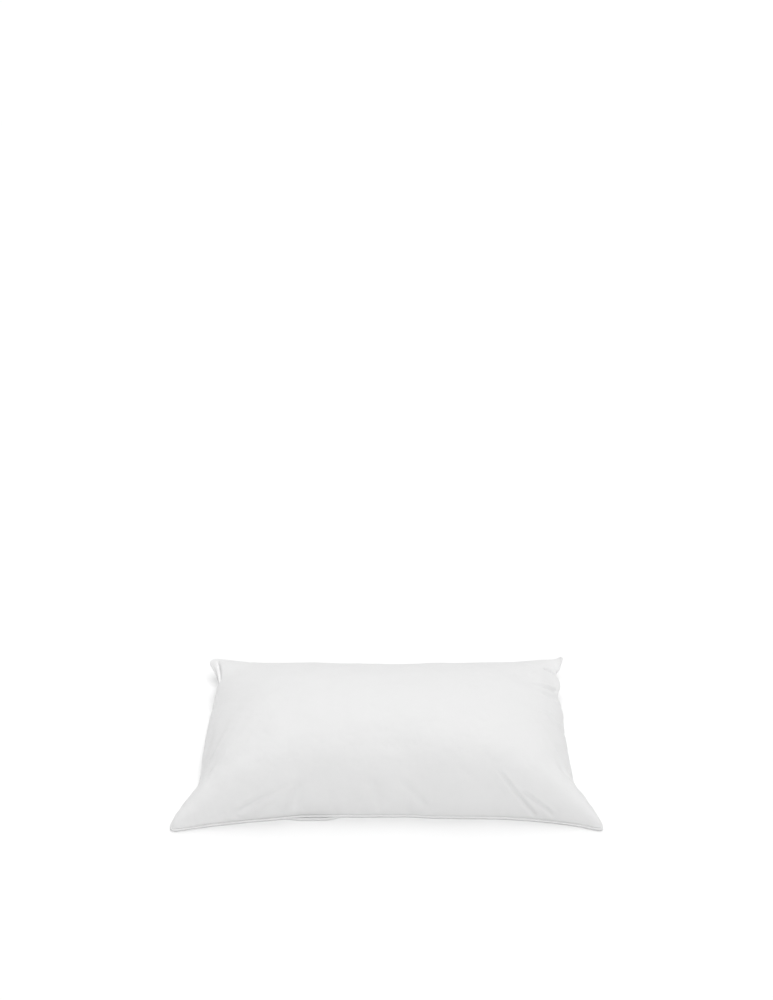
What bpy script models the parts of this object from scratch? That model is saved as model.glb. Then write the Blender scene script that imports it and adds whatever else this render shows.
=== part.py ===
"""Bed pillow: a ticking case with a corded edge around a soft filling, lying on its back panel.

Frame: the origin is the middle of the underside, +X runs along the long sides, -Y faces the edge
that holds the filling opening, and +Z is up. All sizes are in metres.

Round the pillow, every seam piece is set out from one line, the middle of the edge cord. At each
station of that line "inset" is measured inwards, in the plane of the seam, and "rise" upwards.
"""

import math
from dataclasses import dataclass

import bmesh
import bpy
from mathutils import Vector

# The filled form
LENGTH = 0.740  # from corner tip to corner tip along X, at the middle of the edge cord
DEPTH = 0.490  # the same along Y
LOFT = 0.128  # top of the crown above the underside
FRONT_PULL = 0.036  # how far the front seam draws in between its corners
REAR_PULL = 0.012  # how far the rear seam draws in between its corners
SHORT_SIDE_PULL = 0.033  # how far each short seam draws in between its corners
CORNER_RADIUS = 0.018  # of the cord's middle line, seen from above
FRONT_SEAM_HEIGHT = 0.012  # the middle of the front seam above the underside
REAR_SEAM_HEIGHT = 0.042  # the middle of the rear seam
FRONT_CORNER_HEIGHT = 0.012  # the seam at the two front corners, which droop
REAR_CORNER_HEIGHT = 0.054  # the seam at the two rear corners, which stand up

# Cloth, cord and thread
FABRIC = 0.0005  # thickness of the ticking and of the strip round the cord
CORD_RADIUS = 0.0014
THREAD_RADIUS = 0.0002
SEAM_ALLOWANCE = 0.008  # cloth turned in behind the edge cord
GAP = 0.0003  # between two pieces that touch
CROWN_EASE = 0.0030  # slack between the filling's crown and the panel over it

# The filling opening, closed by a row of stitches along the front edge
CLOSING_FROM_TIP = 0.038  # from the left corner tip, along X
CLOSING_LENGTH = 0.238

# The blank label caught in the rear seam
LABEL_PLACE = 0.150  # its middle, along X
LABEL_WIDTH = 0.032
LABEL_HANG = 0.022  # from its seam to its free end
LABEL_THICKNESS = 0.0006  # folded double
LABEL_REACH = 0.010  # how far its free end lies outside the cord's middle line

# How finely the forms are cut
LONG_STEPS, SHORT_STEPS, CORNER_STEPS = 12, 8, 3
SECTION_STEPS = 8  # round the strip's section

# The crown, as shares of the way out from the middle to the seam
CROWN_SHARES = (0.95, 0.89, 0.81, 0.70, 0.57, 0.42, 0.26, 0.10)
CROWN_FULLNESS = (2.3, 0.80)  # the powers of its profile
REST_SHARE = 0.90  # the underside is flat inside this share
SLOPE_SHARE = 0.95  # the ring half way up from the underside's flat part

# Worked out from the above
STRIP_INNER = CORD_RADIUS + GAP
STRIP_RADIUS = STRIP_INNER + FABRIC
PLY_FROM_MIDDLE = GAP / 2  # the strip's two tails lie either side of the seam's plane
TAIL_RISE = PLY_FROM_MIDDLE + FABRIC
FOLD_INSET = STRIP_RADIUS + GAP
FOLD_RISE = TAIL_RISE + GAP
ALLOWANCE_INSET = FOLD_INSET + SEAM_ALLOWANCE
STITCH_INSET = FOLD_INSET + 0.45 * SEAM_ALLOWANCE
STITCH_RISE = FOLD_RISE + FABRIC + 2 * GAP + THREAD_RADIUS
FILLING_INSET = ALLOWANCE_INSET + 3 * GAP
SHOULDER = ((0.0010, 0.0024), (0.0038, 0.0046))  # the roll of cloth past its fold: in, up


@dataclass
class Station:
    """One place on the cord's middle line."""

    place: Vector
    outward: Vector  # level, scaled so that an inset keeps its distance from both neighbours
    along: tuple[float, float]  # the ways out along X and Y, 0 at a side's middle, 1 at a corner


def mixed(low, high, share):
    return low + (high - low) * share


def rounded_rectangle():
    """The tips' rectangle with rounded corners, anticlockwise from the front side's left end."""
    half_x, half_y = LENGTH / 2 - CORNER_RADIUS, DEPTH / 2 - CORNER_RADIUS
    sides = (
        ((-half_x, -DEPTH / 2), (half_x, -DEPTH / 2), LONG_STEPS, (half_x, -half_y), -90),
        ((LENGTH / 2, -half_y), (LENGTH / 2, half_y), SHORT_STEPS, (half_x, half_y), 0),
        ((half_x, DEPTH / 2), (-half_x, DEPTH / 2), LONG_STEPS, (-half_x, half_y), 90),
        ((-LENGTH / 2, half_y), (-LENGTH / 2, -half_y), SHORT_STEPS, (-half_x, -half_y), 180),
    )
    for start, end, steps, centre, angle in sides:
        for step in range(steps):
            share = (1 - math.cos(math.pi * step / steps)) / 2  # closer together at the corners
            yield Vector(start).lerp(Vector(end), share)
        for step in range(CORNER_STEPS):
            turn = math.radians(angle + 90 * step / CORNER_STEPS)
            yield Vector(centre) + CORNER_RADIUS * Vector((math.cos(turn), math.sin(turn)))


def ways_out(place):
    """How far the place is along each side, from 0 at its middle to 1 where its corner begins."""
    along_x = min(abs(place.x) / (LENGTH / 2 - CORNER_RADIUS), 1.0)
    along_y = min(abs(place.y) / (DEPTH / 2 - CORNER_RADIUS), 1.0)
    return along_x, along_y


def drawn_in(place):
    """The place after the filled sides pull in between their corners."""
    along_x, along_y = ways_out(place)
    pull_x = SHORT_SIDE_PULL * (1 - along_y**4) * place.x / (LENGTH / 2)
    pull_y = (REAR_PULL if place.y > 0 else FRONT_PULL) * (1 - along_x**4) * place.y / (DEPTH / 2)
    return Vector((place.x - pull_x, place.y - pull_y))


def seam_height(along, to_rear):
    """Height of the seam: it climbs from front to rear, and is level round each corner."""
    corner = REAR_CORNER_HEIGHT if to_rear else FRONT_CORNER_HEIGHT
    middle = REAR_SEAM_HEIGHT if to_rear else FRONT_SEAM_HEIGHT
    side = mixed(FRONT_SEAM_HEIGHT, REAR_SEAM_HEIGHT, 0.5)
    level = mixed(side, middle, along[1] ** 2)
    return mixed(level, corner, (along[0] * along[1]) ** 4)


def stations():
    """The cord's middle line, once round."""
    tips = list(rounded_rectangle())
    flat = [drawn_in(place) for place in tips]
    found = []
    for index, place in enumerate(flat):
        before = (place - flat[index - 1]).normalized()
        after = (flat[(index + 1) % len(flat)] - place).normalized()
        along = (before + after).normalized()
        outward = Vector((along.y, -along.x, 0.0)) / along.dot(after)
        ways = ways_out(tips[index])
        height = seam_height(ways, place.y > 0)
        found.append(Station(Vector((place.x, place.y, height)), outward, ways))
    return found


def ring(line, inset, rise, share=1.0):
    """The line set in and up, then drawn towards the middle of the pillow by a share."""
    places = []
    for station in line:
        place = station.place - station.outward * inset
        places.append(Vector((place.x * share, place.y * share, place.z + rise)))
    return places


def crown_part(way_out):
    """The crown's profile from the middle to a side: 1 over the small flat top, 0 at the seam."""
    out, power = CROWN_FULLNESS
    past_top = (way_out - CROWN_SHARES[-1]) / (1 - CROWN_SHARES[-1])
    return (1 - max(past_top, 0.0) ** out) ** power


def crown_rings(line, lining=0.0):
    """Rings of the top from the seam inwards, or of a surface that lies inside it by the lining."""
    inset, rise = SHOULDER[-1]
    rings = []
    for share in CROWN_SHARES:
        places = ring(line, FOLD_INSET + inset + 2 * lining, FOLD_RISE + rise, share)
        for station, place in zip(line, places):
            part = crown_part(share * station.along[0]) * crown_part(share * station.along[1])
            place.z = mixed(place.z, LOFT, part) - lining
        rings.append(places)
    return rings


def underside_rings(line, lining=0.0):
    """Rings of the bottom from the seam inwards, the last one level, or of one inside it."""
    inset, rise = SHOULDER[-1]
    rings = []
    for share, part in ((SLOPE_SHARE, 0.5), (REST_SHARE, 1.0)):
        places = ring(line, FOLD_INSET + inset + 2 * lining, -FOLD_RISE - rise, share)
        for place in places:
            place.z = mixed(place.z, 0.0, part) + lining
        rings.append(places)
    return rings


def turned_in_rings(line, side):
    """Seam allowance, fold and shoulder of a panel: side is 1 for the top and -1 for the bottom."""
    rings = [ring(line, ALLOWANCE_INSET, side * FOLD_RISE), ring(line, FOLD_INSET, side * FOLD_RISE)]
    for inset, rise in SHOULDER:
        rings.append(ring(line, FOLD_INSET + inset, side * (FOLD_RISE + rise)))
    return rings


def material(name, colour, roughness):
    made = bpy.data.materials.new(name)
    made.use_nodes = True
    shader = made.node_tree.nodes["Principled BSDF"]
    shader.inputs["Base Color"].default_value = (*colour, 1.0)
    shader.inputs["Roughness"].default_value = roughness
    return made


def add_object(name, data, finish, collection):
    made = bpy.data.objects.new(name, data)
    data.materials.append(finish)
    collection.objects.link(made)
    return made


def grown_surface(name, rings, cap_first, finish, collection):
    """A surface extruded from ring to ring and closed over the last, and over the first if asked."""
    form = bmesh.new()
    current = bmesh.ops.create_circle(form, radius=1.0, segments=len(rings[0]))["verts"]
    for vert, place in zip(current, rings[0]):
        vert.co = place
    if cap_first:
        form.faces.new(current)
    for places in rings[1:]:
        pairs = zip(current, current[1:] + current[:1])
        grown = bmesh.ops.extrude_edge_only(form, edges=[form.edges.get(pair) for pair in pairs])
        new = {item for item in grown["geom"] if isinstance(item, bmesh.types.BMVert)}
        current = [
            next(edge.other_vert(vert) for edge in vert.link_edges if edge.other_vert(vert) in new)
            for vert in current
        ]
        for vert, place in zip(current, places):
            vert.co = place
    form.faces.new(current)
    bmesh.ops.recalc_face_normals(form, faces=form.faces)
    mesh = bpy.data.meshes.new(name)
    form.to_mesh(mesh)
    form.free()
    mesh.shade_smooth()
    mesh.set_sharp_from_angle(angle=math.radians(40))
    return add_object(name, mesh, finish, collection)


def panel(name, rings, facing, finish, collection):
    """A cloth panel: its outer face grown from the rings, thickened inwards."""
    made = grown_surface(name, rings, False, finish, collection)
    mesh = made.data
    outermost = max(mesh.polygons, key=lambda face: face.area)
    if outermost.normal.z * facing < 0:
        mesh.flip_normals()
    cloth = made.modifiers.new("cloth", "SOLIDIFY")
    cloth.thickness = FABRIC
    cloth.offset = -1.0
    cloth.use_even_offset = True
    return made


def strand(name, places, radius, closed, finish, collection, resolution=1):
    """A round cord or thread through the places."""
    curve = bpy.data.curves.new(name, "CURVE")
    curve.dimensions = "3D"
    curve.twist_mode = "Z_UP"
    curve.bevel_depth = radius
    curve.bevel_resolution = resolution
    curve.use_fill_caps = not closed
    spline = curve.splines.new("POLY")
    spline.points.add(len(places) - 1)
    for point, place in zip(spline.points, places):
        point.co = (*place, 1.0)
    spline.use_cyclic_u = closed
    return add_object(name, curve, finish, collection)


def strip_outline():
    """Section of the strip: round the cord, with two tails that run into the seam side by side."""
    outer_start = math.pi - math.asin(TAIL_RISE / STRIP_RADIUS)
    inner_start = math.pi - math.asin(PLY_FROM_MIDDLE / STRIP_INNER)
    outer, inner = [], []
    for step in range(SECTION_STEPS + 1):
        way = 1 - 2 * step / SECTION_STEPS
        outer.append((STRIP_RADIUS, way * outer_start))
        inner.append((STRIP_INNER, -way * inner_start))
    arc = [(size * math.cos(turn), size * math.sin(turn)) for size, turn in outer + inner]
    last_outer = SECTION_STEPS + 1
    lower_tail = [(-ALLOWANCE_INSET, -TAIL_RISE), (-ALLOWANCE_INSET, -PLY_FROM_MIDDLE)]
    upper_tail = [(-ALLOWANCE_INSET, PLY_FROM_MIDDLE), (-ALLOWANCE_INSET, TAIL_RISE)]
    return arc[:last_outer] + lower_tail + arc[last_outer:] + upper_tail


def edge_strip(name, line, finish, collection, helpers):
    """The strip of ticking that wraps the cord, swept round the pillow."""
    section = bpy.data.curves.new("strip_section", "CURVE")
    section.dimensions = "2D"
    section.fill_mode = "NONE"
    spline = section.splines.new("POLY")
    outline = strip_outline()
    spline.points.add(len(outline) - 1)
    for point, (out, up) in zip(spline.points, outline):
        point.co = (out, up, 0.0, 1.0)
    spline.use_cyclic_u = True
    guide = bpy.data.objects.new("strip_section", section)
    guide.hide_render = True
    guide.display_type = "WIRE"
    helpers.objects.link(guide)
    made = strand(name, [station.place for station in line], 0.0, True, finish, collection)
    made.data.bevel_mode = "OBJECT"
    made.data.bevel_object = guide
    return made


def place_at(run, x):
    """The place on a run of places where it crosses that x."""
    for before, after in zip(run, run[1:]):
        if min(before.x, after.x) <= x < max(before.x, after.x):
            return before.lerp(after, (x - before.x) / (after.x - before.x))
    raise ValueError(f"the seam doesn't cross x = {x}")


def closing_places(line):
    """Where the closing stitches lie, just outside the top panel's shoulder along the front edge."""
    in_shoulder, up_shoulder = SHOULDER[0]
    off = GAP + THREAD_RADIUS
    front = ring(line[: LONG_STEPS + 1], FOLD_INSET + in_shoulder - off, FOLD_RISE + up_shoulder + off)
    start = -LENGTH / 2 + CLOSING_FROM_TIP
    end = start + CLOSING_LENGTH
    between = [place for place in front if start < place.x < end]
    return [place_at(front, start), *between, place_at(front, end)]


def care_label(name, line, finish, collection):
    """A blank folded label that hangs from the rear seam, under the edge cord."""
    first_rear = LONG_STEPS + SHORT_STEPS + 2 * CORNER_STEPS
    rear = [station.place for station in line[first_rear : first_rear + LONG_STEPS + 1]]
    root = place_at(rear, LABEL_PLACE)
    root.z -= STRIP_RADIUS + GAP + LABEL_THICKNESS / 2
    fall = math.sqrt(LABEL_HANG**2 - LABEL_REACH**2)
    form = bmesh.new()
    bmesh.ops.create_cube(form, size=1.0)
    bmesh.ops.scale(form, vec=(LABEL_WIDTH, LABEL_HANG, LABEL_THICKNESS), verts=form.verts)
    bmesh.ops.translate(form, vec=(0.0, LABEL_HANG / 2, 0.0), verts=form.verts)
    mesh = bpy.data.meshes.new(name)
    form.to_mesh(mesh)
    form.free()
    made = add_object(name, mesh, finish, collection)
    made.location = root
    made.rotation_euler = (-math.atan2(fall, LABEL_REACH), 0.0, 0.0)
    return made


def collection_named(name):
    made = bpy.data.collections.new(name)
    bpy.context.scene.collection.children.link(made)
    return made


def build():
    for old in list(bpy.data.objects):
        bpy.data.objects.remove(old, do_unlink=True)
    pillow = collection_named("bed_pillow")
    helpers = collection_named("sections")
    helpers.hide_render = True

    ticking = material("ticking", (0.86, 0.86, 0.85), 0.85)
    strip_cloth = material("strip_cloth", (0.88, 0.88, 0.87), 0.80)
    cotton_cord = material("cotton_cord", (0.83, 0.81, 0.76), 0.90)
    thread = material("thread", (0.90, 0.90, 0.89), 0.60)
    fill = material("fill", (0.92, 0.91, 0.88), 0.95)
    label_tape = material("label_tape", (0.91, 0.91, 0.90), 0.70)

    line = stations()
    panel("top_panel", turned_in_rings(line, 1) + crown_rings(line), 1, ticking, pillow)
    panel("bottom_panel", turned_in_rings(line, -1) + underside_rings(line), -1, ticking, pillow)

    lining = FABRIC + GAP
    inner_rings = underside_rings(line, lining)[::-1]
    inner_rings.append(ring(line, FILLING_INSET, 0.0))
    inner_rings += crown_rings(line, lining + CROWN_EASE)
    grown_surface("filling", inner_rings, True, fill, pillow)

    middle = [station.place for station in line]
    strand("piping_cord", middle, CORD_RADIUS, True, cotton_cord, pillow, resolution=2)
    edge_strip("piping_strip", line, strip_cloth, pillow, helpers)
    upper_row = ring(line, STITCH_INSET, STITCH_RISE)
    lower_row = ring(line, STITCH_INSET, -STITCH_RISE)
    strand("seam_needle_thread", upper_row, THREAD_RADIUS, True, thread, pillow)
    strand("seam_bobbin_thread", lower_row, THREAD_RADIUS, True, thread, pillow)
    strand("closing_thread", closing_places(line), THREAD_RADIUS, False, thread, pillow)
    care_label("care_label", line, label_tape, pillow)


build()
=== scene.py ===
"""A piped bed pillow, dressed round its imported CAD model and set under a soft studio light."""

import logging
import math
import random
from dataclasses import dataclass, replace
from enum import Enum
from typing import Any, Callable, Iterable, Sequence

import bpy
import numpy as np
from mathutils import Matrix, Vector, noise


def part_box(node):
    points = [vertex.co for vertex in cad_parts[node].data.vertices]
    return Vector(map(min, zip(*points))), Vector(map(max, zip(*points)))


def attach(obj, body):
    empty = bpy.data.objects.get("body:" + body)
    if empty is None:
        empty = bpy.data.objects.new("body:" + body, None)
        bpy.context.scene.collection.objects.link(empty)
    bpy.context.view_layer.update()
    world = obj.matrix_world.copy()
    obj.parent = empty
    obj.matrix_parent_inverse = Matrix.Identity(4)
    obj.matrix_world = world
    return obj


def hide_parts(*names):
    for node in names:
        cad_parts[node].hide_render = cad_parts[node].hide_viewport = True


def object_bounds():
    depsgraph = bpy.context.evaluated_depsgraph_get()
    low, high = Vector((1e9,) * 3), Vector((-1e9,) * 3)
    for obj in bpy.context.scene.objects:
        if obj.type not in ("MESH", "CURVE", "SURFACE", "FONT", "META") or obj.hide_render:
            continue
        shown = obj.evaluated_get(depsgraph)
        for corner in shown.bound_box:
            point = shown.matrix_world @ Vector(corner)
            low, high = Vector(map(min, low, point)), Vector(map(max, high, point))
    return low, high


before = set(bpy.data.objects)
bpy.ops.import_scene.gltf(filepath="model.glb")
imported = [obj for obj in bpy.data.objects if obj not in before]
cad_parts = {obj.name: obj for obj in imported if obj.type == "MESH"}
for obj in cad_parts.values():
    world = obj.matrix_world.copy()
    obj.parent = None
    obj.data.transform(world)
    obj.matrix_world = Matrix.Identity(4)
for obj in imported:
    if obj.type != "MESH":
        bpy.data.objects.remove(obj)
CAD_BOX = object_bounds()

LOG = logging.getLogger("bed_pillow")
BODY = "root"
PATTERN_MAP = "pattern"
WELD = 1e-6
EDGE_ANGLE = 80.0

Knots = Sequence[tuple[float, float]]


class Side(Enum):
    """The four sides of the pillow, as its seam runs round them."""

    FRONT = "front"
    RIGHT = "right"
    REAR = "rear"
    LEFT = "left"


class Slot(Enum):
    """The material slots of the record."""

    TICKING = "ticking"
    STRIP = "edge_strip"
    THREAD = "thread"
    TAPE = "label_tape"


# ---- Small helpers ----


def through(knots: Knots, shares: np.ndarray) -> np.ndarray:
    """Reads a smooth line through knots that doesn't swing past them.

    Args:
        knots: Pairs of share and value, in rising order of share.
        shares: Where to read the line.

    Returns:
        The line's values at those shares.
    """
    x = np.array([knot[0] for knot in knots], float)
    y = np.array([knot[1] for knot in knots], float)
    step, rise = np.diff(x), np.diff(y) / np.diff(x)
    slope = np.zeros(len(x))
    same_way = rise[:-1] * rise[1:] > 0
    inner = np.zeros(len(x) - 2)
    first, second = rise[:-1][same_way], rise[1:][same_way]
    inner[same_way] = 2 * first * second / (first + second)
    slope[1:-1] = inner
    slope[0], slope[-1] = rise[0], rise[-1]
    i = np.clip(np.searchsorted(x, shares, side="right") - 1, 0, len(x) - 2)
    t = np.clip((shares - x[i]) / step[i], 0.0, 1.0)
    start = (2 * t**3 - 3 * t**2 + 1) * y[i] + (t**3 - 2 * t**2 + t) * step[i] * slope[i]
    end = (3 * t**2 - 2 * t**3) * y[i + 1] + (t**3 - t**2) * step[i] * slope[i + 1]
    return start + end


def smooth_step(low: float, high: float, values: np.ndarray) -> np.ndarray:
    """Rises smoothly from 0 at low to 1 at high."""
    t = np.clip((values - low) / (high - low), 0.0, 1.0)
    return t * t * (3 - 2 * t)


def points_of(mesh: bpy.types.Mesh) -> np.ndarray:
    """Reads a mesh's points as rows of x, y, z."""
    flat = np.empty(len(mesh.vertices) * 3, np.float32)
    mesh.vertices.foreach_get("co", flat)
    return flat.reshape(-1, 3).astype(float)


def move_points(mesh: bpy.types.Mesh, points: np.ndarray) -> None:
    """Puts a mesh's points at new places."""
    mesh.vertices.foreach_set("co", points.astype(np.float32).ravel())
    mesh.update()


def normals_of(mesh: bpy.types.Mesh) -> np.ndarray:
    """Reads the direction out of the surface at each point."""
    flat = np.empty(len(mesh.vertices) * 3, np.float32)
    mesh.vertex_normals.foreach_get("vector", flat)
    return flat.reshape(-1, 3).astype(float)


def pick_only(*pieces: bpy.types.Object) -> None:
    """Leaves only these pieces selected, the last of them active."""
    bpy.ops.object.select_all(action="DESELECT")
    for piece in pieces:
        piece.select_set(True)
        bpy.context.view_layer.objects.active = piece


def new_grid(name: str, steps_x: int, steps_y: int) -> bpy.types.Object:
    """Adds a flat grid, one metre square, about the origin."""
    bpy.ops.object.select_all(action="DESELECT")
    bpy.ops.mesh.primitive_grid_add(x_subdivisions=steps_x, y_subdivisions=steps_y, size=1.0)
    grid = bpy.context.active_object
    grid.name = name
    return grid


def corner_points_of(mesh: bpy.types.Mesh) -> np.ndarray:
    """Reads which point each face corner stands on."""
    corners = np.empty(len(mesh.loops), np.int32)
    mesh.loops.foreach_get("vertex_index", corners)
    return corners


def lay_pattern(mesh: bpy.types.Mesh, flat: np.ndarray) -> None:
    """Keeps each point's place on the flat pattern, in metres, as the mesh's own map."""
    uv = mesh.uv_layers[0]
    uv.name = PATTERN_MAP
    uv.data.foreach_set("uv", flat[corner_points_of(mesh)].astype(np.float32).ravel())


def apply_modifiers(piece: bpy.types.Object) -> None:
    """Applies every modifier of a piece in order."""
    pick_only(piece)
    for modifier in list(piece.modifiers):
        bpy.ops.object.modifier_apply(modifier=modifier.name)


def edit_all(operation: Callable[..., Any], **settings: Any) -> None:
    """Runs one edit on the whole mesh of the active piece."""
    bpy.ops.object.mode_set(mode="EDIT")
    bpy.ops.mesh.select_all(action="SELECT")
    operation(**settings)
    bpy.ops.object.mode_set(mode="OBJECT")


def dress(
    piece: bpy.types.Object, finish: bpy.types.Material, degrees: float = EDGE_ANGLE
) -> None:
    """Gives a piece its finish, and shades it smoothly but for edges sharper than the angle."""
    piece.data.materials.append(finish)
    pick_only(piece)
    bpy.ops.object.shade_smooth_by_angle(angle=math.radians(degrees))


def rolled(
    name: str,
    path: np.ndarray,
    half_width: np.ndarray,
    half_height: np.ndarray,
    section_steps: int,
) -> bpy.types.Object:
    """Rolls a grid into a closed sleeve along a path.

    A path that ends where it starts gives a ring, and widths that end at nothing close the ends.

    Args:
        name: The piece's name.
        path: The points of the middle line.
        half_width: Half the sleeve's width at each point.
        half_height: Half the sleeve's height at each point.
        section_steps: The number of faces round it.

    Returns:
        The sleeve.
    """
    steps = len(path) - 1
    sleeve = new_grid(name, steps, section_steps)
    mesh = sleeve.data
    start = points_of(mesh)
    i = np.rint((start[:, 0] + 0.5) * steps).astype(int)
    turn = np.rint((start[:, 1] + 0.5) * section_steps) / section_steps
    ring = np.allclose(path[0], path[-1])
    ahead = np.vstack([path[1:], path[1] if ring else path[-1]])
    behind = np.vstack([path[-2] if ring else path[0], path[:-1]])
    way = ahead - behind
    way /= np.linalg.norm(way, axis=1)[:, None]
    aside = np.cross(way, [0.0, 0.0, 1.0])
    aside /= np.linalg.norm(aside, axis=1)[:, None]
    upward = np.cross(aside, way)
    angle = 2 * math.pi * turn
    points = path[i] + aside[i] * (half_width[i] * np.cos(angle))[:, None]
    points += upward[i] * (half_height[i] * np.sin(angle))[:, None]
    move_points(mesh, points)
    along = np.concatenate([[0.0], np.cumsum(np.linalg.norm(np.diff(path, axis=0), axis=1))])
    lay_pattern(mesh, np.stack([along[i], angle * float(half_width.max())], axis=-1))
    edit_all(bpy.ops.mesh.remove_doubles, threshold=WELD)
    edit_all(bpy.ops.mesh.normals_make_consistent, inside=False)
    return sleeve


# ---- Shader maths ----


class Wire:
    """A socket whose arithmetic adds Math nodes."""

    def __init__(self, bench: "Bench", socket: bpy.types.NodeSocket) -> None:
        """Wraps an output socket of the bench's material."""
        self.bench, self.socket = bench, socket

    def _maths(self, operation: str, *values: Any) -> "Wire":
        """Adds one Math node."""
        made = self.bench.node(
            "ShaderNodeMath", {"operation": operation}, dict(enumerate(values))
        )
        return self.bench.out(made)

    def __add__(self, other: Any) -> "Wire":
        """Adds."""
        return self._maths("ADD", self, other)

    def __radd__(self, other: Any) -> "Wire":
        """Adds, from the right."""
        return self._maths("ADD", other, self)

    def __sub__(self, other: Any) -> "Wire":
        """Subtracts."""
        return self._maths("SUBTRACT", self, other)

    def __rsub__(self, other: Any) -> "Wire":
        """Subtracts from a number."""
        return self._maths("SUBTRACT", other, self)

    def __mul__(self, other: Any) -> "Wire":
        """Multiplies."""
        return self._maths("MULTIPLY", self, other)

    def __rmul__(self, other: Any) -> "Wire":
        """Multiplies, from the right."""
        return self._maths("MULTIPLY", other, self)

    def sine(self) -> "Wire":
        """The sine of it, in radians."""
        return self._maths("SINE", self)

    def absolute(self) -> "Wire":
        """Its size without its sign."""
        return self._maths("ABSOLUTE", self)


class Bench:
    """One material and the nodes that are laid out in it."""

    def __init__(self, name: str) -> None:
        """Starts an empty material with a Principled shader and an output."""
        self.material = bpy.data.materials.new(name)
        self.material.use_nodes = True
        self.tree = self.material.node_tree
        self.tree.nodes.clear()
        self.shader = self.node("ShaderNodeBsdfPrincipled")
        output = self.node("ShaderNodeOutputMaterial")
        self.tree.links.new(self.shader.outputs[0], output.inputs[0])

    def node(
        self,
        kind: str,
        settings: dict[str, Any] | None = None,
        inputs: dict[Any, Any] | None = None,
    ) -> bpy.types.Node:
        """Adds one node.

        Args:
            kind: The node's type.
            settings: Its properties, which are set first.
            inputs: What its sockets hold or are linked from, by name or number.

        Returns:
            The new node.
        """
        made = self.tree.nodes.new(kind)
        for name, value in (settings or {}).items():
            setattr(made, name, value)
        for socket, value in (inputs or {}).items():
            self.feed(made.inputs[socket], value)
        return made

    def feed(self, socket: bpy.types.NodeSocket, value: Any) -> None:
        """Links a wire to a socket, or sets the socket to a value."""
        if isinstance(value, Wire):
            self.tree.links.new(value.socket, socket)
        else:
            socket.default_value = value

    def out(self, made: bpy.types.Node, name: Any = 0) -> Wire:
        """Wraps one output of a node."""
        return Wire(self, made.outputs[name])

    def shade(self, **values: Any) -> None:
        """Sets or links the shader's sockets, whose spaces are written as underscores."""
        for name, value in values.items():
            self.feed(self.shader.inputs[name.replace("_", " ")], value)

    def object_place(self) -> Wire:
        """The place on the piece, in metres."""
        return self.out(self.node("ShaderNodeTexCoord"), "Object")

    def pattern_place(self) -> Wire:
        """The place on the flat pattern, in metres."""
        return self.out(self.node("ShaderNodeUVMap", {"uv_map": PATTERN_MAP}))

    def parts_of(self, place: Wire) -> tuple[Wire, Wire]:
        """Splits a place into its first two numbers."""
        split = self.node("ShaderNodeSeparateXYZ", None, {0: place})
        return self.out(split, 0), self.out(split, 1)

    def cloud(self, place: Wire, size: float, detail: float) -> Wire:
        """Cloudy noise from 0 to 1.

        Args:
            place: Where it is read.
            size: The width of its patches in metres.
            detail: How many finer layers it has.

        Returns:
            The noise.
        """
        made = self.node(
            "ShaderNodeTexNoise",
            {"noise_dimensions": "3D"},
            {"Vector": place, "Scale": 1.0 / size, "Detail": detail, "Roughness": 0.55},
        )
        return self.out(made, 0)

    def stretched(self, place: Wire, scale: Sequence[float]) -> Wire:
        """A place with its axes scaled, for patterns that run one way."""
        made = self.node("ShaderNodeMapping", None, {"Vector": place, "Scale": scale})
        return self.out(made)

    def blend(self, share: Any, first: Sequence[float], second: Sequence[float]) -> Wire:
        """Mixes two colours by a share."""
        made = self.node(
            "ShaderNodeMix",
            {"data_type": "RGBA"},
            {0: share, 6: (*first, 1.0), 7: (*second, 1.0)},
        )
        return self.out(made, 2)

    def bump(self, height: Wire, depth: float, under: Wire | None = None) -> Wire:
        """Turns a height from 0 to 1 into a normal.

        Args:
            height: The height.
            depth: What a height of 1 stands for, in metres.
            under: A normal that this one lies on.

        Returns:
            The normal.
        """
        inputs: dict[Any, Any] = {"Height": height, "Distance": depth, "Strength": 1.0}
        if under is not None:
            inputs["Normal"] = under
        return self.out(self.node("ShaderNodeBump", None, inputs))


@dataclass(frozen=True)
class WovenCotton:
    """A plain weave of fine cotton, new and lightly creased."""

    name: str
    light: tuple[float, float, float]
    shade: tuple[float, float, float]
    thread_pitch: float
    thread_depth: float
    crease_depth: float
    puff_depth: float
    roughness: tuple[float, float]
    sheen: float
    sheen_roughness: float = 0.4
    specular: float = 0.25
    slub_width: float = 0.0016
    slub_run: float = 0.06
    slub_share: float = 0.7
    slub_floor: float = 0.55
    crease_width: float = 0.014
    puff_width: float = 0.045
    tone_width: float = 0.06
    tone_share: float = 0.7
    wear_width: float = 0.02

    def material(self) -> bpy.types.Material:
        """Builds the finish.

        Returns:
            The new material.
        """
        bench = Bench(self.name)
        place = bench.object_place()
        flat = bench.pattern_place()
        across, along = bench.parts_of(flat)
        turn = math.pi / self.thread_pitch
        warp, weft = (across * turn).sine().absolute(), (along * turn).sine().absolute()
        runs = bench.stretched(flat, (1.0, self.slub_run, 1.0))
        slub = bench.cloud(runs, self.slub_width, 2.0)
        weave = (warp * weft) * (slub * self.slub_share + self.slub_floor)
        puffs = bench.cloud(place, self.puff_width, 2.0)
        creases = bench.cloud(place, self.crease_width, 5.0)
        normal = bench.bump(puffs, self.puff_depth)
        normal = bench.bump(creases, self.crease_depth, normal)
        normal = bench.bump(weave, self.thread_depth, normal)
        tone = bench.cloud(place, self.tone_width, 4.0) * self.tone_share
        tone = tone + slub * (1 - self.tone_share)
        low, high = self.roughness
        bench.shade(
            Base_Color=bench.blend(tone, self.shade, self.light),
            Roughness=bench.cloud(place, self.wear_width, 3.0) * (high - low) + low,
            Normal=normal,
            Sheen_Weight=self.sheen,
            Sheen_Roughness=self.sheen_roughness,
            Specular_IOR_Level=self.specular,
        )
        return bench.material


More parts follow.
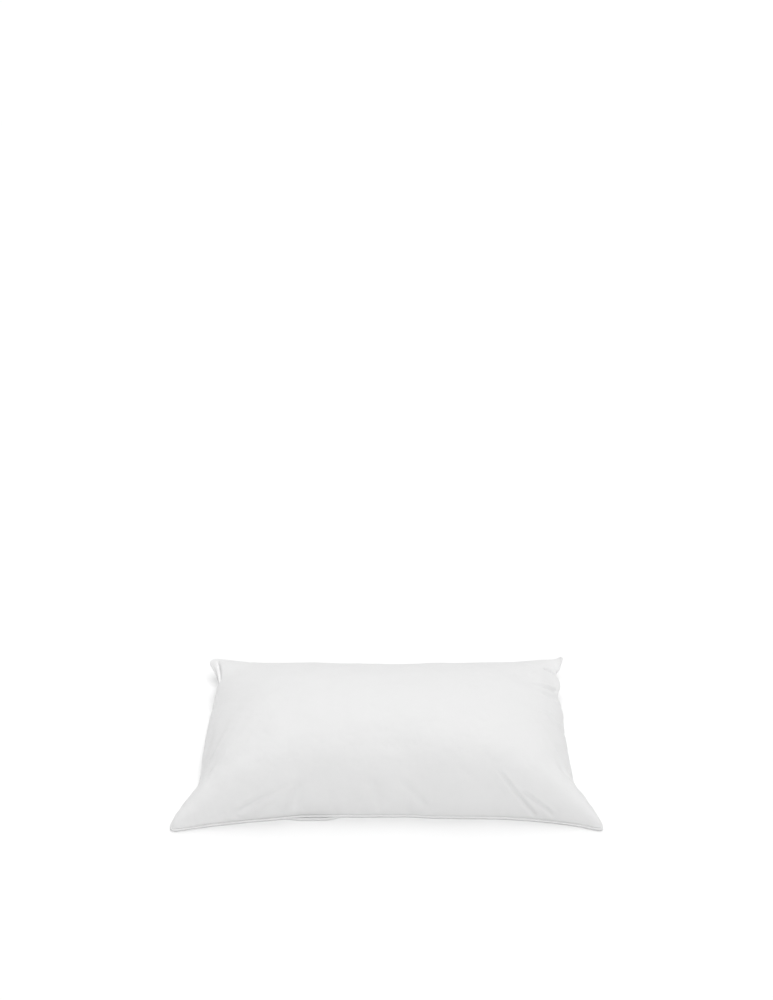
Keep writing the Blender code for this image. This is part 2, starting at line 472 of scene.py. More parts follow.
@dataclass(frozen=True)
class StudioFloor:
    """A seamless pale floor."""

    name: str
    light: tuple[float, float, float]
    shade: tuple[float, float, float]
    tone_width: float = 0.5
    roughness: float = 0.9

    def material(self) -> bpy.types.Material:
        """Builds the finish.

        Returns:
            The new material.
        """
        bench = Bench(self.name)
        tone = bench.cloud(bench.object_place(), self.tone_width, 2.0)
        bench.shade(
            Base_Color=bench.blend(tone, self.shade, self.light),
            Roughness=self.roughness,
            Specular_IOR_Level=0.0,
        )
        return bench.material


# ---- The seam ----


@dataclass
class SeamLine:
    """The line that the piping follows, where the top and the underside are sewn together.

    Each side is drawn in by a share of the box and lies at a share of the box's height.
    """

    cord_radius: float = 0.0021
    waver: float = 0.0011
    waver_pitch: float = 0.045
    waver_fade: float = 6.0
    waver_starts: tuple[float, float, float, float] = (3.1, 59.9, 17.7, 41.3)
    reach_steps: int = 400
    tips_front: tuple[float, float] = (0.026, 0.026)
    tips_rear: tuple[float, float] = (0.015, 0.007)
    tip_slant: float = 1.25
    front_spare: float = 0.0016
    rear_draw: float = 0.0045
    pull_front: Knots = ((0, 0), (0.054, 0.022), (0.16, 0.054), (0.24, 0.070), (0.31, 0.085),
                         (0.36, 0.086), (0.42, 0.0870), (0.52, 0.088), (0.63, 0.080),
                         (0.75, 0.077), (0.83, 0.0665), (0.93, 0.0395), (0.975, 0.017), (1, 0))
    pull_rear: Knots = ((0, 0), (0.08, 0.006), (0.22, 0.018), (0.5, 0.028), (0.78, 0.018),
                        (0.92, 0.006), (1, 0))
    pull_left: Knots = ((0, 0), (0.07, 0.013), (0.14, 0.038), (0.205, 0.0625), (0.35, 0.056),
                        (0.5, 0.050), (0.7, 0.049), (0.80, 0.047), (0.87, 0.033), (0.93, 0.015),
                        (0.97, 0.003), (1, 0))
    pull_right: Knots = ((0, 0), (0.07, 0.013), (0.14, 0.036), (0.20, 0.0605), (0.35, 0.059),
                         (0.5, 0.055), (0.62, 0.046), (0.72, 0.049), (0.79, 0.032),
                         (0.835, 0.0290), (0.875, 0.032), (0.93, 0.016), (1, 0))
    height_front: Knots = ((0, 0.0165), (1, 0.0165))
    height_rear: Knots = ((0, 0.432), (0.03, 0.425), (0.08, 0.395), (0.18, 0.350), (0.5, 0.305),
                          (0.82, 0.378), (0.90, 0.404), (0.945, 0.418), (0.975, 0.420), (1, 0.472))
    height_left: Knots = ((0, 0.0165), (0.10, 0.055), (0.22, 0.160), (0.5, 0.260), (0.8, 0.360),
                          (1, 0.432))
    height_right: Knots = ((0, 0.0165), (0.10, 0.055), (0.22, 0.160), (0.5, 0.270), (0.8, 0.372),
                           (0.93, 0.420), (1, 0.472))

    def __post_init__(self) -> None:
        """Takes the seam's room from the CAD model's box, less the piping outside it."""
        low, high = CAD_BOX
        self.length = high.x - low.x
        self.depth = high.y - low.y
        self.loft = high.z - low.z
        self.half_length = self.length / 2 - self.cord_radius
        self.half_depth = self.depth / 2 - self.cord_radius + self.front_spare
        reach = np.abs(self.side(Side.FRONT, np.linspace(0, 1, self.reach_steps))[:, 0]).max()
        self.half_length += self.half_length - reach

    def side(self, side: Side, shares: np.ndarray) -> np.ndarray:
        """Places points along one side.

        Args:
            side: Which side.
            shares: How far along it, from its left or its front end.

        Returns:
            The points, as rows of x, y, z.
        """
        span = 2 * shares - 1
        ends = np.ones_like(shares) if side in (Side.RIGHT, Side.REAR) else np.zeros_like(shares)
        pull, height = (getattr(self, f"{knots}_{side.value}") for knots in ("pull", "height"))
        if side in (Side.FRONT, Side.REAR):
            inwards = through(pull, shares) * self.depth + self._waver(shares, self.length, side)
            reach = self.half_depth - inwards
            x = span * (self.half_length - self.rear_draw * ends)
            y = -reach if side is Side.FRONT else reach
            u, v = shares, ends
        else:
            inwards = through(pull, shares) * self.length + self._waver(shares, self.depth, side)
            reach = self.half_length - inwards - self.rear_draw * shares
            x, y = -reach if side is Side.LEFT else reach, span * self.half_depth
            u, v = ends, shares
        points = np.stack([x, y, through(height, shares) * self.loft], axis=-1)
        return self._rounded(points, u, v)

    def _waver(self, shares: np.ndarray, span: float, side: Side) -> np.ndarray:
        """Makes a hand-sewn line's small unevenness, which dies out at the corners.

        Args:
            shares: How far along the side.
            span: The side's length in metres.
            side: Which side, because each reads its noise from another place.

        Returns:
            How far the line strays inwards, in metres.
        """
        start = self.waver_starts[list(Side).index(side)]
        stray = np.array([
            noise.noise(Vector((start + share * span / self.waver_pitch, start, 0.0)))
            for share in shares
        ])
        to_corner = np.minimum(shares, 1 - shares)
        return self.waver * stray * np.minimum(1.0, self.waver_fade * to_corner)

    def _rounded(self, points: np.ndarray, u: np.ndarray, v: np.ndarray) -> np.ndarray:
        """Draws points near a corner inwards, so that the tips are round.

        Args:
            points: The points.
            u: Their shares along the length.
            v: Their shares along the depth.

        Returns:
            The moved points.
        """
        moved = points.copy()
        for corner, reach in enumerate((*self.tips_front, *self.tips_rear)):
            from_side = 1 - u if corner % 2 else u
            from_end = 1 - v if corner // 2 else v
            far = (from_side * self.length + from_end * self.depth) / reach
            draw = self.tip_slant * reach / 4 * np.maximum(0.0, 1 - far) ** 2
            moved[:, 0] -= draw if corner % 2 else -draw
            moved[:, 1] -= draw if corner // 2 else -draw
        return moved

    def skin(self, u: np.ndarray, v: np.ndarray) -> np.ndarray:
        """Stretches a skin between the four sides.

        Args:
            u: Shares along the length, from the left.
            v: Shares along the depth, from the front.

        Returns:
            The skin's points, as rows of x, y, z.
        """
        left, right = self.side(Side.LEFT, v), self.side(Side.RIGHT, v)
        front, rear = self.side(Side.FRONT, u), self.side(Side.REAR, u)
        ends = np.array([0.0, 1.0])
        near, far = self.side(Side.FRONT, ends), self.side(Side.REAR, ends)
        u, v = u[:, None], v[:, None]
        corners = (1 - v) * ((1 - u) * near[0] + u * near[1])
        corners += v * ((1 - u) * far[0] + u * far[1])
        return (1 - v) * front + v * rear + (1 - u) * left + u * right - corners

    def loop(self, steps_long: int, steps_short: int) -> np.ndarray:
        """Runs once round the whole seam from the front left tip.

        Args:
            steps_long: Steps along each long side.
            steps_short: Steps along each short side.

        Returns:
            The closed line's points.
        """
        long_way, short_way = (
            np.linspace(0, 1, steps, endpoint=False) for steps in (steps_long, steps_short)
        )
        ways = (long_way, short_way, 1 - long_way, 1 - short_way)
        return np.concatenate([self.side(side, way) for side, way in zip(Side, ways)])


# ---- The filled case ----


@dataclass(frozen=True)
class Fold:
    """One crease or roll in the cloth, drawn on the flat pattern from a tail to a head.

    The tail and head are shares of the length and the depth, and the sizes are in metres. The
    two rolls beside the crease are given by their height, place and width, as shares of the
    crease's own depth and width.
    """

    tail: tuple[float, float]
    head: tuple[float, float]
    width: float
    depth: float
    bend: float = 0.0
    soft_tail: float = 0.35
    roll: float = 1.0
    rolls: tuple[tuple[float, float, float], ...] = ((0.55, 1.9, 1.3), (0.35, -2.1, 1.5))
    tail_fade: tuple[float, float] = (-0.08, 0.12)
    soft_reach: float = 0.6
    head_fade: tuple[float, float] = (0.90, 1.05)

    def rise(self, pattern: np.ndarray, size: tuple[float, float]) -> np.ndarray:
        """Works out how far the fold lifts the cloth.

        Args:
            pattern: Each point's place on the pattern, in metres.
            size: The pattern's length and depth.

        Returns:
            The lift of each point, below zero in the crease.
        """
        tail = np.array(self.tail) * size
        way = np.array(self.head) * size - tail
        length = float(np.hypot(*way))
        way /= length
        across = np.array([-way[1], way[0]])
        along = (pattern - tail) @ way / length
        aside = (pattern - tail) @ across - self.bend * np.sin(math.pi * np.clip(along, 0, 1))
        starts, grown = self.tail_fade
        ends = smooth_step(starts, grown + self.soft_reach * self.soft_tail, along)
        ends *= 1 - smooth_step(*self.head_fade, along)
        valley = np.exp(-((aside / self.width) ** 2))
        beside = sum(
            height * np.exp(-(((aside - place * self.width) / (wide * self.width)) ** 2))
            for height, place, wide in self.rolls
        )
        return self.depth * ends * (self.roll * beside - valley)


# How the filled cloth gives in the simulation.
CLOTH = {
    "quality": 7, "mass": 0.25,
    "tension_stiffness": 12.0, "compression_stiffness": 12.0,
    "shear_stiffness": 4.0, "bending_stiffness": 0.15,
    "tension_damping": 12.0, "compression_damping": 12.0,
    "use_pressure": True,
}


@dataclass
class TickingCase:
    """The closed case of white ticking, filled and crowned."""

    seam: SeamLine
    steps_long: int = 104
    steps_short: int = 68
    edge_crowding: float = 0.30
    arc_steps: int = 401
    crown_share: float = 0.955
    crown_long: Knots = ((0, 0), (0.02, 0.24), (0.06, 0.50), (0.13, 0.76), (0.24, 0.94),
                         (0.38, 1.0), (0.5, 0.98), (0.62, 1.0), (0.76, 0.94), (0.87, 0.76),
                         (0.94, 0.50), (0.98, 0.24), (1, 0))
    crown_short: Knots = ((0, 0), (0.025, 0.24), (0.08, 0.52), (0.15, 0.78), (0.24, 0.92),
                          (0.36, 0.99), (0.48, 1.0), (0.62, 0.955), (0.78, 0.77), (0.90, 0.49),
                          (0.965, 0.25), (1, 0))
    belly_fullness: float = 3.2
    pattern_ease: float = 1.035
    pressure: float = 4.0
    frames: int = 20
    most_move: float = 0.014
    tuck_front: Knots = ((0, 0.0), (0.05, 0.1), (0.11, 0.5), (0.20, 0.7), (0.33, 0.9), (0.41, 0.35),
                         (0.48, 0.0), (0.66, 0.0), (0.78, 0.4), (0.86, 0.6), (0.95, 0.4), (1, 0.1))
    tuck_elsewhere: float = 0.0
    tuck_in: tuple[float, float] = (-0.0004, 0.0020)
    tuck_lift: tuple[float, float] = (0.0015, 0.0)
    tuck_fade: float = 0.010
    overhang: float = 0.0085
    overhang_at: float = 0.008
    overhang_along: Knots = ((0, 0), (0.03, 0.15), (0.10, 0.45), (0.25, 1), (0.76, 1), (0.86, 0.5),
                             (0.94, 0.1), (1, 0))
    lumps: tuple[tuple[float, float], ...] = ((19.0, 0.0011), (47.0, 0.0004))
    lump_margin: float = 0.04
    fold_margin: float = 0.006
    under_share: float = 0.5
    rest_height: float = 0.0004
    cut_gap: float = 0.001

    def _stations(self, steps: int) -> np.ndarray:
        """Shares from 0 to 1, closer together near the seams."""
        t = np.linspace(0.0, 1.0, steps + 1)
        return t - self.edge_crowding * np.sin(2 * math.pi * t) / (2 * math.pi)

    def _plan_share(self, crown: Knots, span: float, shares: np.ndarray) -> np.ndarray:
        """Finds where a share of the cut cloth lies in plan, once it climbs over the crown.

        Args:
            crown: The crown's profile across the panel.
            span: The panel's width in plan, in metres.
            shares: Shares of the cut cloth.

        Returns:
            The shares in plan.
        """
        plan = np.linspace(0.0, 1.0, self.arc_steps)
        rise = through(crown, plan) * self.crown_share * self.seam.loft
        arc = np.concatenate([[0.0], np.cumsum(np.hypot(np.diff(plan) * span, np.diff(rise)))])
        return np.interp(shares, arc / arc[-1], plan)

    def _panel(self, name: str, upper: bool) -> bpy.types.Object:
        """Makes one panel as a grid and shapes it.

        Args:
            name: The panel's name.
            upper: Whether it is the top, and not the underside.

        Returns:
            The panel.
        """
        panel = new_grid(name, self.steps_long, self.steps_short)
        start = points_of(panel.data) + 0.5
        u, v = (
            self._stations(steps)[np.rint(start[:, axis] * steps).astype(int)]
            for axis, steps in enumerate((self.steps_long, self.steps_short))
        )
        plan_u, plan_v = u, v
        if upper:
            climb_u = self._plan_share(self.crown_long, self.seam.length, u) - u
            climb_v = self._plan_share(self.crown_short, self.seam.depth, v) - v
            plan_u = u + climb_u * through(self.crown_short, v)
            plan_v = v + climb_v * through(self.crown_long, u)
        points = self.seam.skin(plan_u, plan_v)
        crown = through(self.crown_long, plan_u) * through(self.crown_short, plan_v)
        flat = np.stack([u * self.seam.length, v * self.seam.depth], axis=-1)
        if upper:
            points[:, 2] += (self.crown_share * self.seam.loft - points[:, 2]) * crown
            self._hang_over(points, u, v)
        else:
            points[:, 2] *= np.clip(1 - self.belly_fullness * crown, 0.0, 1.0)
            flat[:, 1] += self.seam.length
            edit_all(bpy.ops.mesh.flip_normals)
        self._tuck(points, u, v)
        move_points(panel.data, points)
        lay_pattern(panel.data, flat)
        return panel

    def _hang_over(self, points: np.ndarray, u: np.ndarray, v: np.ndarray) -> None:
        """Lets the filling push the cloth out over the seams of the two short sides.

        Args:
            points: The panel's points, which are moved.
            u: Their shares along the length.
            v: Their shares along the depth.
        """
        along = through(self.overhang_along, v) * self.overhang
        for share, way in ((u, -1.0), (1 - u, 1.0)):
            far = share * self.seam.length / self.overhang_at
            points[:, 0] += way * along * far * np.exp(1 - far)

    def _tuck(self, points: np.ndarray, u: np.ndarray, v: np.ndarray) -> None:
        """Draws the panel's edge in behind the cord, or lets it come off the top of the cord.

        Args:
            points: The panel's points, which are moved.
            u: Their shares along the length.
            v: Their shares along the depth.
        """
        fronts = through(self.tuck_front, u)
        for share, span, axis, way, tuck in (
            (v, self.seam.depth, 1, 1.0, fronts),
            (1 - v, self.seam.depth, 1, -1.0, self.tuck_elsewhere),
            (u, self.seam.length, 0, 1.0, self.tuck_elsewhere),
            (1 - u, self.seam.length, 0, -1.0, self.tuck_elsewhere),
        ):
            near = np.exp(-share * span / self.tuck_fade)
            (off, drawn), (lifted, let_go) = self.tuck_in, self.tuck_lift
            points[:, axis] += way * near * (off + (drawn - off) * tuck)
            points[:, 2] += near * (lifted + (let_go - lifted) * tuck)

    def _join(self) -> bpy.types.Object:
        """Sews the two panels together along the seam.

        Returns:
            The closed case.
        """
        top, underside = self._panel("ticking_case", True), self._panel("underside", False)
        pick_only(underside, top)
        bpy.ops.object.join()
        case = bpy.context.active_object
        edit_all(bpy.ops.mesh.remove_doubles, threshold=WELD)
        return case

    def _pattern_of(self, case: bpy.types.Object) -> tuple[np.ndarray, np.ndarray, np.ndarray]:
        """Reads where each point lies on the pattern.

        Args:
            case: The case.

        Returns:
            Each point's place on its own panel in metres, whether it is on the top, and whether
            it is on the seam.
        """
        mesh = case.data
        corner_points = corner_points_of(mesh)
        uv = np.empty(len(mesh.loops) * 2, np.float32)
        mesh.uv_layers[PATTERN_MAP].data.foreach_get("uv", uv)
        uv = uv.reshape(-1, 2).astype(float)
        lower = uv[:, 1] > self.seam.length - 1e-5
        uv[lower, 1] -= self.seam.length
        flat = np.zeros((len(mesh.vertices), 2))
        flat[corner_points] = uv
        above, below = np.zeros((2, len(mesh.vertices)), bool)
        above[corner_points[~lower]] = True
        below[corner_points[lower]] = True
        return flat, above, above & below

    def _blow_up(self, case: bpy.types.Object) -> None:
        """Fills the case by cloth simulation, with its seam and its resting face held.

        Args:
            case: The case, which is changed.
        """
        flat, above, on_seam = self._pattern_of(case)
        start = points_of(case.data)
        resting = ~above & (start[:, 2] < self.rest_height)
        held = case.vertex_groups.new(name="held")
        held.add(np.flatnonzero(on_seam | resting).tolist(), 1.0, "REPLACE")
        case.shape_key_add(name="Basis")
        cut = case.shape_key_add(name="flat_cut")
        size = np.array([self.seam.length, self.seam.depth])
        cut_points = np.zeros_like(start)
        cut_points[:, :2] = (flat - size / 2) * self.pattern_ease
        cut_points[:, 2] = np.where(on_seam, 0.0, np.where(above, self.cut_gap, -self.cut_gap))
        cut.data.foreach_set("co", cut_points.astype(np.float32).ravel())
        cut.value = 0.0
        cloth = case.modifiers.new("filling", "CLOTH")
        settings = cloth.settings
        for name, value in CLOTH.items():
            setattr(settings, name, value)
        settings.vertex_group_mass = "held"
        settings.rest_shape_key = cut
        settings.uniform_pressure_force = self.pressure
        settings.effector_weights.gravity = 0.0
        cloth.collision_settings.use_collision = False
        cloth.collision_settings.use_self_collision = False
        cloth.point_cache.frame_start = 1
        cloth.point_cache.frame_end = self.frames
        scene = bpy.context.scene
        for number in range(1, self.frames + 1):
            scene.frame_set(number)
        graph = bpy.context.evaluated_depsgraph_get()
        blown = points_of(case.evaluated_get(graph).data)
        case.modifiers.remove(cloth)
        case.shape_key_clear()
        case.vertex_groups.clear()
        scene.frame_set(1)
        move = blown - start
        far = np.linalg.norm(move, axis=1)
        share = np.minimum(1.0, self.most_move / np.maximum(far, 1e-9))
        move_points(case.data, start + move * share[:, None])
        LOG.info("case: cloth moved %.1f mm at most", far.max() * 1000)

    def _fold(self, case: bpy.types.Object, folds: Iterable[Fold]) -> None:
        """Presses the folds and the soft unevenness of the filling into the top.

        Args:
            case: The case, which is changed.
            folds: The folds.
        """
        mesh = case.data
        flat, above, on_seam = self._pattern_of(case)
        points, normals = points_of(mesh), normals_of(mesh)
        size = (self.seam.length, self.seam.depth)
        lift = sum(fold.rise(flat, size) for fold in folds)
        to_edge = np.minimum.reduce([
            flat[:, 0], size[0] - flat[:, 0], flat[:, 1], size[1] - flat[:, 1]
        ])
        lumps = np.array([
            sum(noise.noise(Vector(point) * pitch) * high for pitch, high in self.lumps)
            for point in points
        ])
        lift *= smooth_step(0.0, self.fold_margin, to_edge)
        lift += lumps * smooth_step(0.0, self.lump_margin, to_edge)
        lift = np.where(above, lift, self.under_share * lift) * (~on_seam)
        points += normals * lift[:, None]
        points[:, 2] = np.maximum(points[:, 2], 0.0)
        move_points(mesh, points)

    def build(self, finish: bpy.types.Material, folds: Iterable[Fold]) -> bpy.types.Object:
        """Makes the case and dresses it.

        Args:
            finish: The ticking.
            folds: The folds in its top.

        Returns:
            The finished case.
        """
        case = self._join()
        self._blow_up(case)
        subdivision = case.modifiers.new("finer", "SUBSURF")
        subdivision.levels = subdivision.render_levels = 1
        apply_modifiers(case)
        self._fold(case, folds)
        dress(case, finish)
        return case


@dataclass(frozen=True)
class Puckers:
    """Short soft creases that stand off a seam where the cloth is eased into it."""

    seed: int = 11
    spacing: tuple[float, float] = (0.030, 0.065)
    length: tuple[float, float] = (0.018, 0.055)
    width: tuple[float, float] = (0.0035, 0.0075)
    depth: tuple[float, float] = (0.0003, 0.0010)
    lean: float = 0.9
    from_seam: float = 0.004

    def folds(self, size: tuple[float, float]) -> list[Fold]:
        """Draws the puckers of all four sides.

        Args:
            size: The pattern's length and depth.

        Returns:
            The puckers.
        """
        draw = random.Random(self.seed)
        made: list[Fold] = []
        for side in Side:
            runs_long = side in (Side.FRONT, Side.REAR)
            span, other = size if runs_long else size[::-1]
            at = draw.uniform(*self.spacing)
            while at < span - self.spacing[0]:
                length, lean = draw.uniform(*self.length), draw.uniform(-self.lean, self.lean)
                near = self.from_seam / other
                far = near + length * math.cos(lean) / other
                head, tail = at / span, (at + length * math.sin(lean)) / span
                if side in (Side.REAR, Side.RIGHT):
                    near, far = 1 - near, 1 - far
                ends = ((tail, far), (head, near)) if runs_long else ((far, tail), (near, head))
                made.append(Fold(*ends, draw.uniform(*self.width), draw.uniform(*self.depth)))
                at += draw.uniform(*self.spacing)
        return made


# The long creases and soft rolls of the top: in front from right to left, then up the right
# side to its corner, then the left side and its corner.
FOLDS = (
    Fold((0.738, 0.168), (0.838, 0.010), 0.0030, 0.0028, -0.005, 0.35),
    Fold((0.796, 0.092), (0.876, 0.018), 0.0026, 0.0021, 0.001, 0.0),
    Fold((0.309, 0.116), (0.168, 0.030), 0.0040, 0.0028, -0.002, 0.7),
    Fold((0.322, 0.120), (0.288, 0.022), 0.0080, 0.0034),
    Fold((0.385, 0.090), (0.355, 0.030), 0.0090, 0.0010),
    Fold((0.458, 0.140), (0.487, 0.035), 0.0095, 0.0019),
    Fold((0.520, 0.135), (0.590, 0.030), 0.0058, 0.0017, 0.0, 0.6),
    Fold((0.640, 0.185), (0.728, 0.080), 0.0075, 0.0004),
    Fold((0.872, 0.664), (0.982, 0.735), 0.0044, 0.0036, 0.0, 0.8),
    Fold((0.875, 0.620), (0.975, 0.668), 0.0046, 0.0020, 0.0, 0.6),
    Fold((0.880, 0.500), (0.945, 0.515), 0.0045, 0.0012),
    Fold((0.915, 0.520), (0.975, 0.480), 0.0045, 0.0016),
    Fold((0.944, 0.884), (0.993, 0.864), 0.0048, 0.0125, 0.0, 0.7, 0.3),
    Fold((0.925, 0.260), (0.985, 0.175), 0.0050, 0.0022),
    Fold((0.070, 0.255), (0.020, 0.175), 0.0050, 0.0015),
    Fold((0.016, 0.800), (0.029, 0.966), 0.0040, 0.0050, 0.0, 0.0, 0.15),
)


# ---- Trimmings ----


@dataclass
class Piping:
    """The covered cord sewn into the seam all round."""

    seam: SeamLine
    steps_long: int = 240
    steps_short: int = 160
    section_steps: int = 10

    def build(self, finish: bpy.types.Material) -> bpy.types.Object:
        """Makes the piping as a closed sleeve along the seam.

        Args:
            finish: The strip's cloth.

        Returns:
            The piping.
        """
        line = self.seam.loop(self.steps_long, self.steps_short)
        line[:, 2] = np.maximum(line[:, 2], self.seam.cord_radius)
        line = np.vstack([line, line[:1]])
        radius = np.full(len(line), self.seam.cord_radius)
        piping = rolled("edge_piping", line, radius, radius, self.section_steps)
        dress(piping, finish)
        return piping


@dataclass
class Closing:
    """The filling opening, turned in and sewn shut by hand along the front seam."""

    seam: SeamLine
    steps: int = 120
    lip_half_width: float = 0.0034
    lip_half_height: float = 0.0009
    lip_outwards: float = 0.0058
    lip_off_floor: float = 0.0003
    lip_section_steps: int = 10
    lip_share: tuple[float, float] = (0.60, 1.12)
    taper: float = 0.35
    stitch_inwards: float = 0.0015
    stitch_rise: float = 0.0018
    stitch_pitch: float = 0.0048
    stitch_half_length: float = 0.0016
    stitch_lean: float = 0.35
    stitch_bow: float = 0.4
    stitch_points: int = 7
    stitch_section_steps: int = 6
    end_margin: float = 0.02
    thread_radius: float = 0.00028

    def __post_init__(self) -> None:
        """Takes the opening's ends from the CAD model's closing thread."""
        low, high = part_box("closing_thread")
        self.ends = [(end.x / self.seam.half_length + 1) / 2 for end in (low, high)]

    def _line(self, shares: np.ndarray, inwards: float, rise: float) -> np.ndarray:
        """Runs beside the seam, a little inwards and above the cord."""
        line = self.seam.side(Side.FRONT, shares)
        line[:, 2] = np.maximum(line[:, 2], self.seam.cord_radius)
        return line + np.array([0.0, inwards, rise])

    def lip(self, finish: bpy.types.Material) -> bpy.types.Object:
        """Makes the underside's turned-in edge, which shows below the cord where the seam gapes.

        Args:
            finish: The ticking.

        Returns:
            The lip.
        """
        first, last = self.ends
        starts, stops = (first + share * (last - first) for share in self.lip_share)
        shares = np.linspace(starts, stops, self.steps)
        t = np.linspace(0, 1, self.steps)
        fade = smooth_step(0.0, self.taper, t) * (1 - smooth_step(1 - self.taper, 1.0, t))
        line = self._line(shares, 0.0, 0.0)
        line[:, 1] -= self.lip_outwards * fade
        line[:, 2] = self.lip_half_height + self.lip_off_floor
        lip = rolled(
            "closing_lip", line, self.lip_half_width * fade, self.lip_half_height * fade,
            self.lip_section_steps,
        )
        dress(lip, finish)
        return lip

    def stitches(self, finish: bpy.types.Material) -> bpy.types.Object:
        """Makes the row of slanting hand stitches, one modelled and the rest copied.

        Args:
            finish: The thread.

        Returns:
            The row as one piece.
        """
        t = np.linspace(-1, 1, self.stitch_points)
        path = np.stack([self.stitch_lean * t, t, self.stitch_bow * (1 - t * t)], axis=-1)
        path *= self.stitch_half_length
        width = self.thread_radius * np.sqrt(np.clip(1 - t**4, 0, 1))
        first = rolled("closing_stitches", path, width, width, self.stitch_section_steps)
        span = (self.ends[1] - self.ends[0]) * 2 * self.seam.half_length
        count = int(span / self.stitch_pitch)
        first_share, last_share = self.ends[0] + self.end_margin, self.ends[1] - self.end_margin
        shares = np.linspace(first_share, last_share, count)
        places = self._line(shares, self.stitch_inwards, self.stitch_rise)
        base = points_of(first.data)
        copies = [first]
        for place in places[1:]:
            copy = first.copy()
            copy.data = first.data.copy()
            bpy.context.scene.collection.objects.link(copy)
            move_points(copy.data, base + place)
            copies.append(copy)
        move_points(first.data, base + places[0])
        pick_only(*reversed(copies))
        bpy.ops.object.join()
        row = bpy.context.active_object
        dress(row, finish)
        return row


@dataclass
class CareLabel:
    """A blank folded tape that hangs from the rear seam."""

    seam: SeamLine
    drop: float = 0.024
    thickness: float = 0.00045
    fold_radius: float = 0.0011
    steps_across: int = 16
    steps_down: int = 36
    curl: float = 0.0022
    slant: float = 0.18
    root_rise: float = 0.0004
    root_back: float = 0.2
    edge_angle: float = 40.0

    def __post_init__(self) -> None:
        """Takes its width and place from the CAD model's label, and works out its flat size."""
        low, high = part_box("care_label")
        self.middle, self.width = (low.x + high.x) / 2, high.x - low.x
        self.turn = self.fold_radius * math.pi / 2
        self.travel = self.drop + self.turn
        self.flat = (self.width, 2 * self.travel)

    def build(self, finish: bpy.types.Material) -> bpy.types.Object:
        """Makes the tape as one strip that goes down, turns and comes back up.

        Args:
            finish: The tape.

        Returns:
            The label.
        """
        share = np.array([(self.middle / self.seam.half_length + 1) / 2])
        root = self.seam.side(Side.REAR, share)[0]
        label = new_grid("care_label_tape", self.steps_across, self.steps_down)
        start = points_of(label.data)
        across, down = start[:, 0] * self.width, start[:, 1]
        past = np.maximum(self.travel * (1 - 2 * np.abs(down)), 0.0)
        in_turn = past < self.turn
        angle = np.where(in_turn, past / self.fold_radius, math.pi / 2)
        out = np.sign(down) * self.fold_radius * np.sin(angle)
        rounding, straight = -self.fold_radius * np.cos(angle), past - self.turn
        fall = -self.drop + np.where(in_turn, rounding, straight)
        lean = np.clip(-fall / self.drop, 0, 1)
        bow = self.curl * lean * (1 - (2 * across / self.width) ** 2)
        points = np.zeros_like(start)
        points[:, 0] = self.middle + across
        points[:, 1] = root[1] - self.fold_radius * self.root_back + out * lean + bow
        points[:, 1] -= self.slant * fall
        points[:, 2] = root[2] - self.seam.cord_radius + self.root_rise + fall
        move_points(label.data, points)
        lay_pattern(label.data, np.stack([across, down * 2 * self.travel], axis=-1))
        thick = label.modifiers.new("thickness", "SOLIDIFY")
        thick.thickness = self.thickness
        thick.offset = 0.0
        apply_modifiers(label)
        dress(label, finish, self.edge_angle)
        return label


# ---- The studio ----


@dataclass(frozen=True)
class SoftLamp:
    """One broad distant light."""

    name: str
    strength: float
    spread: float
    comes_from: tuple[float, float, float]

    def hang(self) -> None:
        """Puts the light up."""
        lamp = bpy.data.lights.new(self.name, "SUN")
        lamp.energy = self.strength
        lamp.angle = math.radians(self.spread)
        holder = bpy.data.objects.new(self.name, lamp)
        holder.rotation_euler = Vector(self.comes_from).to_track_quat("Z", "Y").to_euler()
        bpy.context.scene.collection.objects.link(holder)


@dataclass
class Studio:
    """The floor, the light and the camera."""

    floor_side: float = 60.0
    camera_back: float = 1.735
    camera_height: float = 1.205
    camera_dip: float = 21.6
    lens: float = 38.3
    sensor: float = 36.0
    backdrop: float = 1.02
    sky: float = 0.17
    lamps: tuple[SoftLamp, ...] = (
        SoftLamp("rear", 1.60, 40.0, (0.0, 0.669, 0.743)),
        SoftLamp("front", 2.08, 40.0, (0.09, -0.5, 0.866)),
    )

    def _floor(self, finish: bpy.types.Material) -> None:
        """Lays the floor."""
        bpy.ops.object.select_all(action="DESELECT")
        bpy.ops.mesh.primitive_plane_add(size=self.floor_side)
        floor = bpy.context.active_object
        floor.name = "studio_floor"
        floor.data.materials.append(finish)

    def _sky(self) -> None:
        """Hangs a dim even sky, in front of which the backdrop looks white."""
        world = bpy.data.worlds.new("studio")
        bpy.context.scene.world = world
        world.use_nodes = True
        nodes, links = world.node_tree.nodes, world.node_tree.links
        seen = nodes.new("ShaderNodeLightPath").outputs["Is Camera Ray"]
        strength = nodes.new("ShaderNodeMapRange")
        strength.inputs["To Min"].default_value = self.sky
        strength.inputs["To Max"].default_value = self.backdrop
        links.new(seen, strength.inputs["Value"])
        background = nodes["Background"]
        background.inputs["Color"].default_value = (1.0, 1.0, 1.0, 1.0)
        links.new(strength.outputs["Result"], background.inputs["Strength"])

    def _camera(self) -> None:
        """Stands the camera in front, looking down."""
        camera = bpy.data.cameras.new("camera")
        camera.lens = self.lens
        camera.sensor_width = self.sensor
        stand = bpy.data.objects.new("camera", camera)
        stand.location = (0.0, -self.camera_back, self.camera_height)
        stand.rotation_euler = (math.radians(90.0 - self.camera_dip), 0.0, 0.0)
        bpy.context.scene.collection.objects.link(stand)
        bpy.context.scene.camera = stand

    def build(self, finish: bpy.types.Material) -> None:
        """Sets the studio up.

        Args:
            finish: The floor's finish.
        """
        self._floor(finish)
        self._sky()
        for lamp in self.lamps:
            lamp.hang()
        self._camera()
        bpy.context.scene.view_settings.view_transform = "Standard"


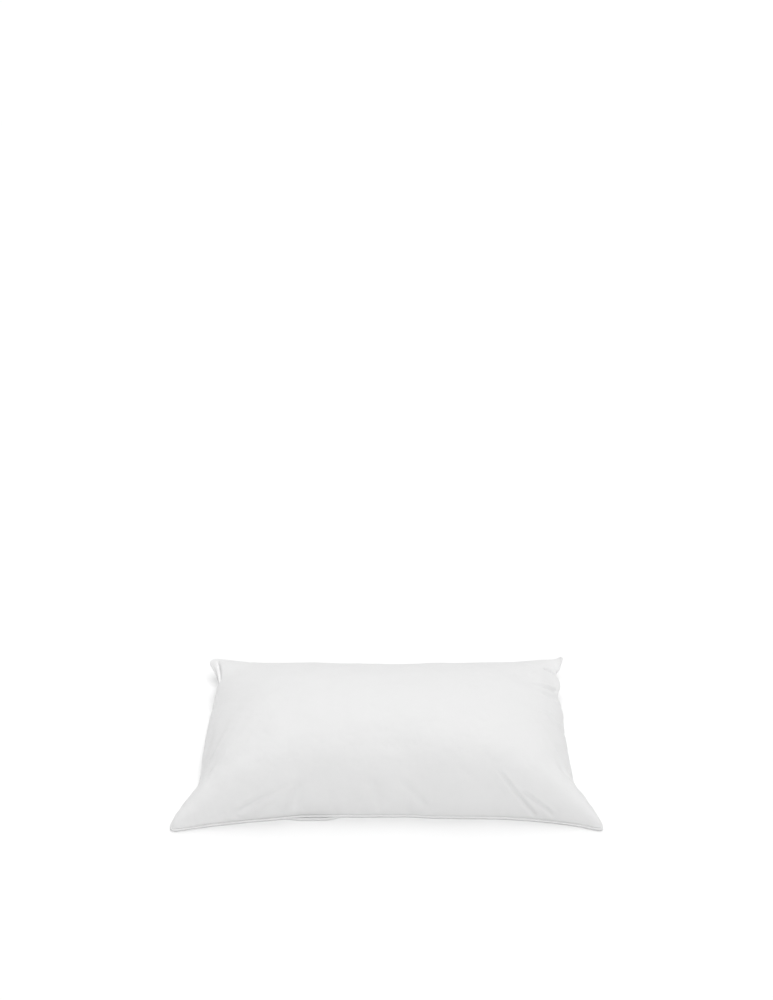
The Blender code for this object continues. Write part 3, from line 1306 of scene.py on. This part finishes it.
TICKING = WovenCotton(
    name="ticking", light=(0.80, 0.80, 0.80), shade=(0.765, 0.765, 0.765),
    thread_pitch=0.0006, thread_depth=0.00006, crease_depth=0.0005, puff_depth=0.0016,
    roughness=(0.72, 0.86), sheen=0.25,
)
STRIP = replace(
    TICKING, name="edge_strip", light=(0.81, 0.81, 0.81), shade=(0.76, 0.76, 0.76),
    crease_depth=0.0004, puff_depth=0.0004,
)
THREAD = WovenCotton(
    name="thread", light=(0.84, 0.84, 0.83), shade=(0.74, 0.74, 0.73),
    thread_pitch=0.0004, thread_depth=0.00004, crease_depth=0.0001, puff_depth=0.0001,
    roughness=(0.5, 0.65), sheen=0.1,
)
TAPE = WovenCotton(
    name="label_tape", light=(0.86, 0.86, 0.85), shade=(0.80, 0.80, 0.79),
    thread_pitch=0.0009, thread_depth=0.00007, crease_depth=0.0002, puff_depth=0.0003,
    roughness=(0.42, 0.58), sheen=0.15,
)
FLOOR = StudioFloor(name="studio_floor", light=(0.91, 0.91, 0.91), shade=(0.905, 0.905, 0.905))


def hand_over(piece: bpy.types.Object, slot: Slot, *nodes: str) -> None:
    """Ties a piece to its body and the nodes it stands for, and reports it.

    Args:
        piece: The finished piece.
        slot: Its material slot, which is not used.
        nodes: The CAD nodes that it replaces.
    """
    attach(piece, BODY)
    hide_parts(*nodes)
    stands_for = ", ".join(nodes) or "no node"
    LOG.info("%s: %d faces, for %s", piece.name, len(piece.data.polygons), stands_for)


def main() -> None:
    """Builds every piece in order."""
    logging.basicConfig(level=logging.INFO, format="%(name)s: %(message)s")
    Studio().build(FLOOR.material())
    seam = SeamLine()
    ticking = TICKING.material()
    puckers = Puckers().folds((seam.length, seam.depth))
    case = TickingCase(seam).build(ticking, [*FOLDS, *puckers])
    hand_over(case, Slot.TICKING, "top_panel", "bottom_panel", "filling",
              "seam_needle_thread", "seam_bobbin_thread")
    piping = Piping(seam).build(STRIP.material())
    hand_over(piping, Slot.STRIP, "piping_strip", "piping_cord")
    closing = Closing(seam)
    lip = closing.lip(ticking)
    hand_over(lip, Slot.TICKING)
    hand_over(closing.stitches(THREAD.material()), Slot.THREAD, "closing_thread")
    tape = CareLabel(seam)
    label = tape.build(TAPE.material())
    hand_over(label, Slot.TAPE, "care_label")


if __name__ == "__main__":
    main()
